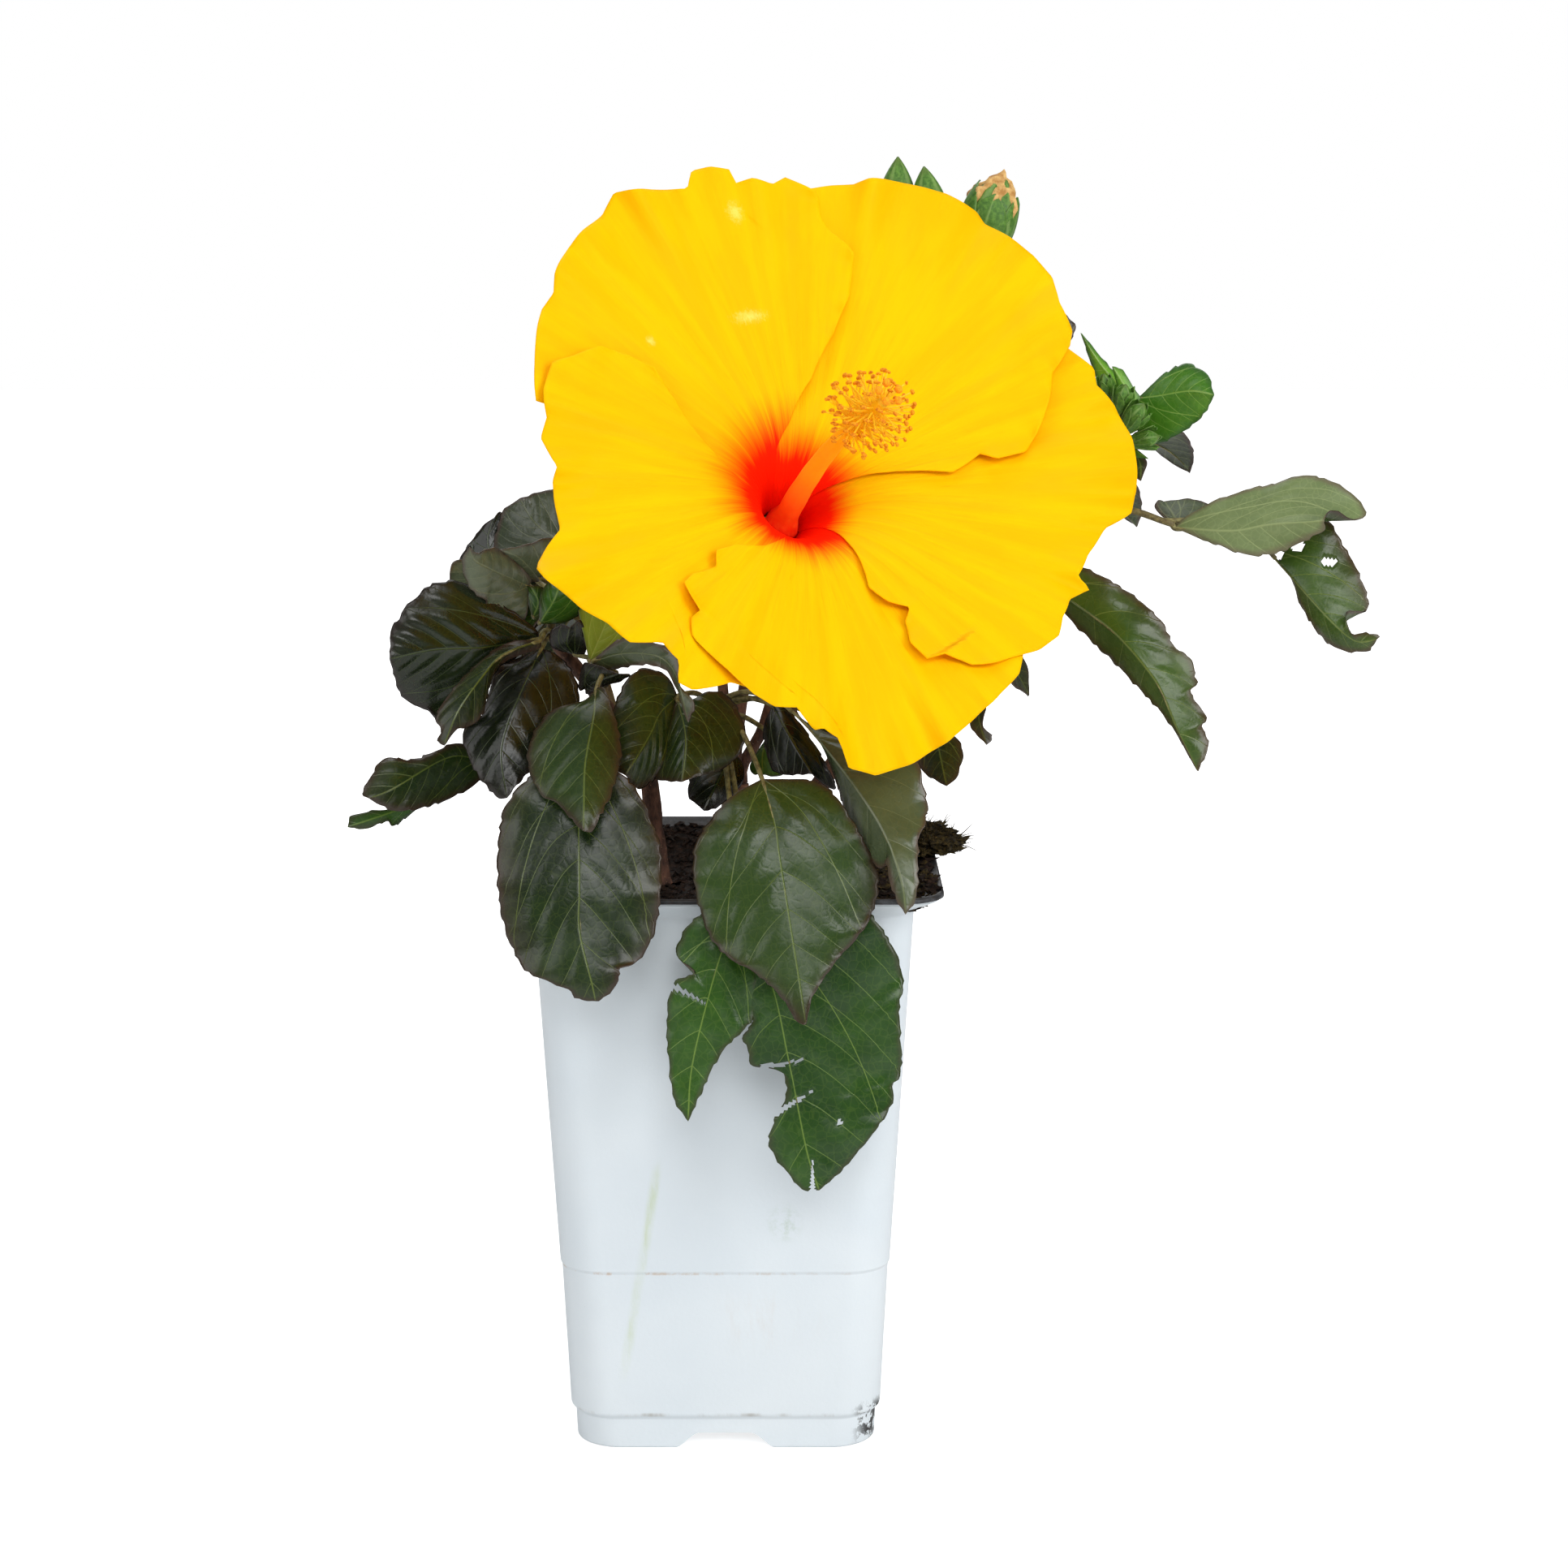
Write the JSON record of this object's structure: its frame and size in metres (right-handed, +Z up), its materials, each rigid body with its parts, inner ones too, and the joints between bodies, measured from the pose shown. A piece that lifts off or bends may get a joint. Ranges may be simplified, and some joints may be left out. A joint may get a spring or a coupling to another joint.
{
  "type": "potted hibiscus shrub",
  "caption": "Young hibiscus shrub with glossy dark leaves, slim buds and one large open yellow bloom with a red throat, in a square plastic nursery pot.",
  "frame": {"origin": "middle of the pot's flat underside, on the level it stands on", "axes": "+Z up, -Y towards the front that the bloom faces, +X to the right seen from the front"},
  "size_m": [0.3172, 0.2404, 0.4],
  "materials": {
    "pot_plastic": "pale bluish white plastic, semi-matt",
    "lining_plastic": "dark grey plastic, semi-matt",
    "peat": "moist fibrous peat",
    "bark": "thin reddish brown bark",
    "leaf": "glossy dark green leaf",
    "petal": "soft matt yellow petal with a red base",
    "filament": "matt orange filaments",
    "sepal": "matt green"
  },
  "bodies": {
    "root": {"pot": "pot_plastic", "pot_lining": "lining_plastic", "soil": "peat", "peat_clump": "peat", "stem_left": "bark", "stem_centre": "bark", "stem_right": "bark", "bough_bloom": "bark", "bough_buds": "bark", "bough_back": "bark", "bough_left_inner": "bark", "bough_left_lower": "bark", "bough_back_left": "bark", "bough_front": "bark", "bough_right_lower": "bark", "bough_right_top": "bark", "bough_back_right": "bark", "foliage_left_upper": "leaf", "foliage_left_inner": "leaf", "foliage_left_lower": "leaf", "foliage_front": "leaf", "foliage_right_lower": "leaf", "foliage_far_right": "leaf", "foliage_right_top": "leaf", "foliage_top": "leaf", "foliage_back": "leaf", "foliage_back_left": "leaf", "foliage_back_right": "leaf", "bloom_petals": "petal", "bloom_column": "filament", "bloom_calyx": "sepal"}
  },
  "joints": []
}
